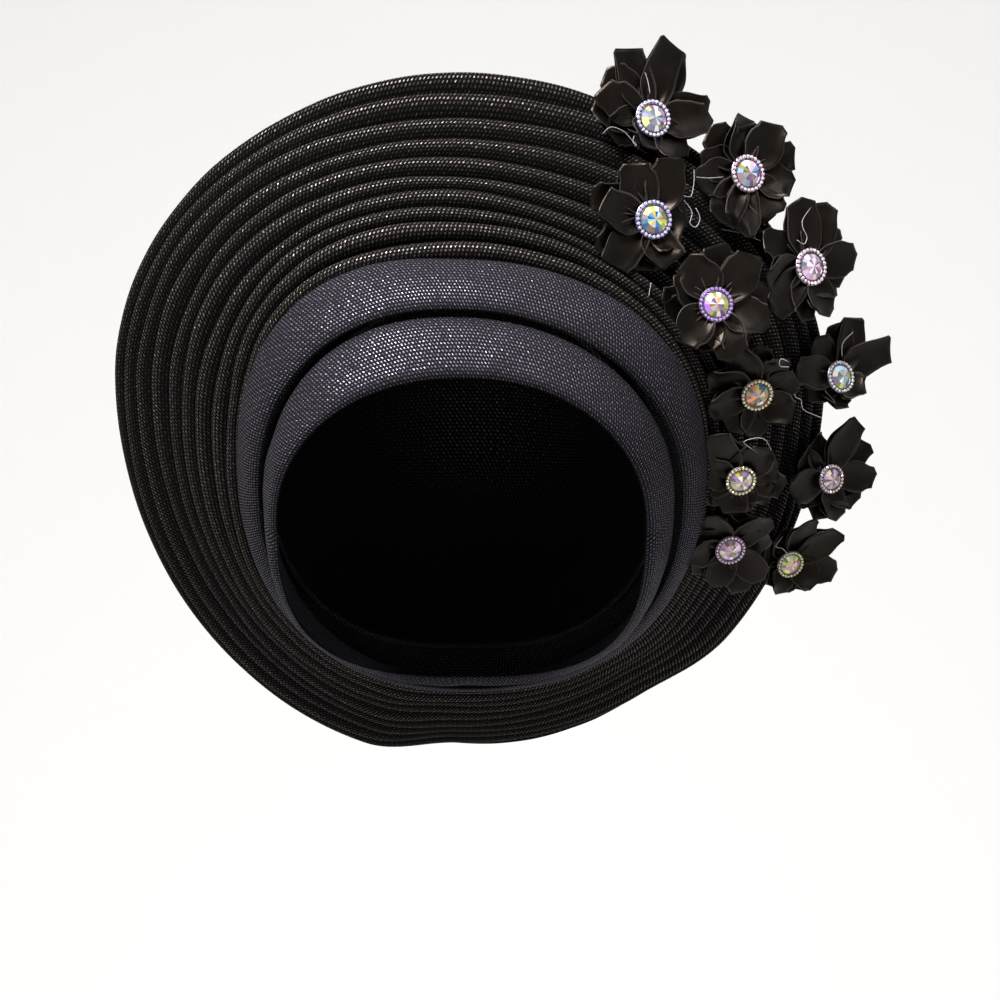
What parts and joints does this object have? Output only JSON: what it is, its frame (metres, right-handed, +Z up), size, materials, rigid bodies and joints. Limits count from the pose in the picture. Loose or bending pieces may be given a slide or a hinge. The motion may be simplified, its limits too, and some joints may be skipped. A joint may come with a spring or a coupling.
{
  "type": "tied gele head tie",
  "caption": "Ready-tied pleated head wrap: smooth brow bands, a halo fan of rolled pleats round the face, and satin ribbon flowers with crystal buttons on one side.",
  "frame": {"origin": "inside the head hollow, on the wearer's midline, at the height of the brow band's middle over the ears", "axes": "-Y is the way the face looks, +X is towards the flowers (the wearer's left), +Z is up"},
  "size_m": [0.3089, 0.1931, 0.2778],
  "materials": {
    "cloth": "stiff black mesh brocade with fine metallic flecks",
    "satin": "black polyester satin ribbon",
    "setting": "clear faceted resin rim with a pearly coat",
    "crystal": "cut rivoli with an aurora borealis coat"
  },
  "bodies": {
    "root": {"crown_cap": "cloth", "brow_band": "cloth", "crown_band": "cloth", "pleat_01": "cloth", "pleat_02": "cloth", "pleat_03": "cloth", "pleat_04": "cloth", "pleat_05": "cloth", "pleat_06": "cloth", "pleat_07": "cloth", "pleat_08": "cloth", "pleat_09": "cloth", "pleat_10": "cloth", "nape_tuck": "cloth", "flower_01": "satin", "flower_02": "satin", "flower_03": "satin", "flower_04": "satin", "flower_05": "satin", "flower_06": "satin", "flower_07": "satin", "flower_08": "satin", "flower_09": "satin", "flower_10": "satin", "flower_11": "satin", "setting_01": "setting", "setting_02": "setting", "setting_03": "setting", "setting_04": "setting", "setting_05": "setting", "setting_06": "setting", "setting_07": "setting", "setting_08": "setting", "setting_09": "setting", "setting_10": "setting", "setting_11": "setting", "stone_01": "crystal", "stone_02": "crystal", "stone_03": "crystal", "stone_04": "crystal", "stone_05": "crystal", "stone_06": "crystal", "stone_07": "crystal", "stone_08": "crystal", "stone_09": "crystal", "stone_10": "crystal", "stone_11": "crystal"}
  },
  "joints": []
}
